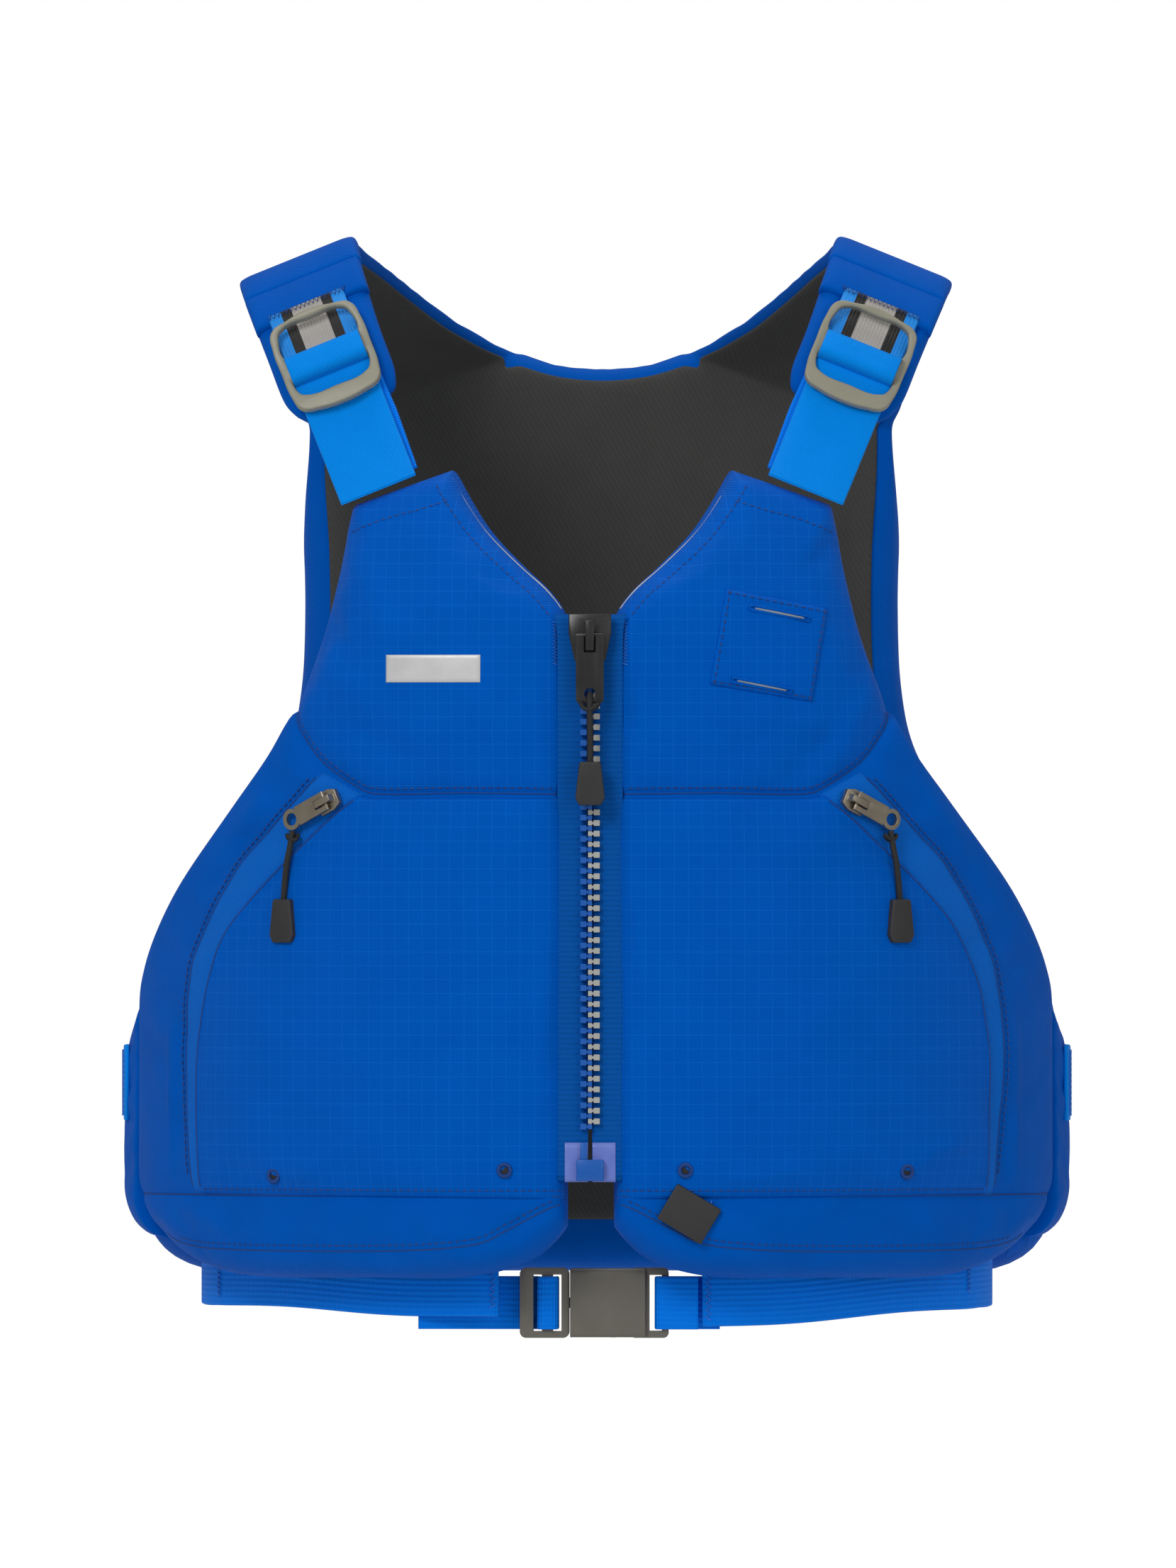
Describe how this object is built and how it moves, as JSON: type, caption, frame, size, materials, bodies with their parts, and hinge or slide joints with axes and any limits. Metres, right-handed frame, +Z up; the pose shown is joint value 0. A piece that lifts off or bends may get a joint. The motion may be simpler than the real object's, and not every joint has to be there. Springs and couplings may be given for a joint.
{
  "type": "paddling life vest",
  "caption": "Front-zip foam life vest for paddlers, with padded shoulder straps, two curved zip pockets and a buckled waist belt.",
  "frame": {"origin": "midway between the undersides of the two shoulder ridges, where the vest rests on the wearer", "axes": "+Z up, -Y the wearer's front, +X the wearer's left"},
  "size_m": [0.4468, 0.3072, 0.5192],
  "materials": {
    "ripstop_nylon": "woven ripstop nylon",
    "buoyancy_foam": "closed-cell foam",
    "lining_cloth": "fine twill polyester",
    "webbing_blue": "woven nylon webbing",
    "reflective_tape": "retroreflective tape on webbing",
    "zip_tape": "woven zip tape",
    "eyelet_thread": "stitched eyelets",
    "pull_cord": "braided polyester cord",
    "pull_tab_rubber": "moulded PVC",
    "grip_tab_rubber": "moulded hook tab",
    "buckle_acetal": "moulded acetal",
    "adjuster_acetal": "moulded acetal",
    "zip_teeth_grey": "moulded acetal",
    "zip_plastic_blue": "moulded acetal",
    "slider_black": "black enamel",
    "slider_gunmetal": "gunmetal plating"
  },
  "bodies": {
    "back": {"back_foam": "buoyancy_foam", "back_cover": "ripstop_nylon", "back_lining": "lining_cloth", "shoulder_pad_left": "ripstop_nylon", "side_panel_left": "ripstop_nylon", "side_strap_left": "webbing_blue", "belt_left": "webbing_blue", "shoulder_pad_right": "ripstop_nylon", "side_panel_right": "ripstop_nylon", "side_strap_right": "webbing_blue", "belt_right": "webbing_blue", "buckle_webbing_left": "webbing_blue", "buckle_webbing_right": "webbing_blue", "buckle_body": "buckle_acetal"},
    "front_left": {"front_cover_left": "ripstop_nylon", "front_foam_left": "buoyancy_foam", "front_lining_left": "lining_cloth", "pocket_panel_left": "ripstop_nylon", "pocket_zip_left": "zip_tape", "drain_eyelets_left": "eyelet_thread", "shoulder_flap_left": "ripstop_nylon", "reflective_strap_left": "reflective_tape", "shoulder_webbing_left": "webbing_blue", "webbing_turn_left": "webbing_blue", "zip_tape_left": "zip_tape", "zip_teeth_left": "zip_teeth_grey", "lash_patch": "ripstop_nylon", "grip_tab": "grip_tab_rubber", "zip_box": "zip_plastic_blue"},
    "front_right": {"front_cover_right": "ripstop_nylon", "front_foam_right": "buoyancy_foam", "front_lining_right": "lining_cloth", "pocket_panel_right": "ripstop_nylon", "pocket_zip_right": "zip_tape", "drain_eyelets_right": "eyelet_thread", "shoulder_flap_right": "ripstop_nylon", "reflective_strap_right": "reflective_tape", "shoulder_webbing_right": "webbing_blue", "webbing_turn_right": "webbing_blue", "zip_tape_right": "zip_tape", "zip_teeth_right": "zip_plastic_blue", "zip_pin": "zip_plastic_blue"},
    "main_slider": {"zip_slider": "slider_black"},
    "main_puller": {"zip_puller": "slider_black", "zip_pull_cord": "pull_cord", "zip_pull_tab": "pull_tab_rubber"},
    "buckle_half": {"buckle_insert": "buckle_acetal"},
    "arm_upper": {"release_arm_upper": "buckle_acetal"},
    "arm_lower": {"release_arm_lower": "buckle_acetal"},
    "adjuster_left": {"adjuster_left": "adjuster_acetal"},
    "pocket_slider_left": {"pocket_slider_left": "slider_gunmetal"},
    "pocket_puller_left": {"pocket_puller_left": "slider_gunmetal"},
    "pocket_pull_left": {"pocket_pull_cord_left": "pull_cord", "pocket_pull_tab_left": "pull_tab_rubber"},
    "adjuster_right": {"adjuster_right": "adjuster_acetal"},
    "pocket_slider_right": {"pocket_slider_right": "slider_gunmetal"},
    "pocket_puller_right": {"pocket_puller_right": "slider_gunmetal"},
    "pocket_pull_right": {"pocket_pull_cord_right": "pull_cord", "pocket_pull_tab_right": "pull_tab_rubber"}
  },
  "joints": [
    {"name": "front_left_open", "type": "hinge", "parent": "back", "child": "front_left", "pos_m": [0.141, -0.022, 0.007], "axis": [-0.1472, -0.029, 0.9887], "range_deg": [0, 35], "deforming": ["side_panel_left", "shoulder_flap_left", "zip_tape_left", "zip_teeth_left"]},
    {"name": "adjuster_left_tilt", "type": "hinge", "parent": "front_left", "child": "adjuster_left", "pos_m": [0.13284, -0.07434, -0.0212], "axis": [-0.9272, 0, 0.3746], "range_deg": [0, 30], "deforming": ["webbing_turn_left"]},
    {"name": "pocket_zip_left_travel", "type": "hinge", "parent": "front_left", "child": "pocket_slider_left", "pos_m": [0.0722, -0.157, -0.3804], "axis": [-0.5934, 0.8049, 0], "range_deg": [0, 76], "deforming": ["pocket_zip_left"]},
    {"name": "pocket_puller_left_flip", "type": "hinge", "parent": "pocket_slider_left", "child": "pocket_puller_left", "pos_m": [0.12529, -0.12705, -0.24764], "axis": [-0.3338, -0.2461, -0.91], "range_deg": [0, 75]},
    {"name": "pocket_pull_left_hang", "type": "hinge", "parent": "pocket_puller_left", "child": "pocket_pull_left", "pos_m": [0.14067, -0.11571, -0.25634], "axis": [0.5934, -0.8049, 0], "range_deg": [0, 76]},
    {"name": "front_right_open", "type": "hinge", "parent": "back", "child": "front_right", "pos_m": [-0.141, -0.022, 0.007], "axis": [-0.1472, 0.029, -0.9887], "range_deg": [0, 35], "deforming": ["side_panel_right", "shoulder_flap_right", "zip_tape_right", "zip_teeth_right"]},
    {"name": "adjuster_right_tilt", "type": "hinge", "parent": "front_right", "child": "adjuster_right", "pos_m": [-0.13284, -0.07434, -0.0212], "axis": [-0.9272, 0, -0.3746], "range_deg": [0, 30], "deforming": ["webbing_turn_right"]},
    {"name": "pocket_zip_right_travel", "type": "hinge", "parent": "front_right", "child": "pocket_slider_right", "pos_m": [-0.0722, -0.157, -0.3804], "axis": [-0.5934, -0.8049, 0], "range_deg": [0, 76], "deforming": ["pocket_zip_right"]},
    {"name": "pocket_puller_right_flip", "type": "hinge", "parent": "pocket_slider_right", "child": "pocket_puller_right", "pos_m": [-0.12529, -0.12705, -0.24764], "axis": [-0.3338, 0.2461, 0.91], "range_deg": [0, 75]},
    {"name": "pocket_pull_right_hang", "type": "hinge", "parent": "pocket_puller_right", "child": "pocket_pull_right", "pos_m": [-0.14067, -0.11571, -0.25634], "axis": [0.5934, 0.8049, 0], "range_deg": [0, 76]},
    {"name": "main_zip_travel", "type": "slide", "parent": "front_left", "child": "main_slider", "axis": [0, 0, -1], "range_m": [0, 0.226]},
    {"name": "main_puller_flip", "type": "hinge", "parent": "main_slider", "child": "main_puller", "pos_m": [0, -0.1539, -0.17], "axis": [-1, 0, 0], "range_deg": [0, 110]},
    {"name": "buckle_release", "type": "slide", "parent": "back", "child": "buckle_half", "axis": [-1, 0, 0], "range_m": [0, 0.027], "deforming": ["belt_right", "buckle_webbing_right"]},
    {"name": "arm_upper_squeeze", "type": "hinge", "parent": "buckle_half", "child": "arm_upper", "pos_m": [-0.009, -0.1025, -0.4752], "axis": [0, 1, 0], "range_deg": [0, 5], "stiffness_Nm_per_rad": 0.05},
    {"name": "arm_lower_squeeze", "type": "hinge", "parent": "buckle_half", "child": "arm_lower", "pos_m": [-0.009, -0.1025, -0.4924], "axis": [0, -1, 0], "range_deg": [0, 5], "stiffness_Nm_per_rad": 0.05}
  ],
  "couplings": [
    {"joint": "pocket_pull_left_hang", "follows": "pocket_zip_left_travel", "ratio": 1},
    {"joint": "pocket_pull_right_hang", "follows": "pocket_zip_right_travel", "ratio": 1}
  ]
}
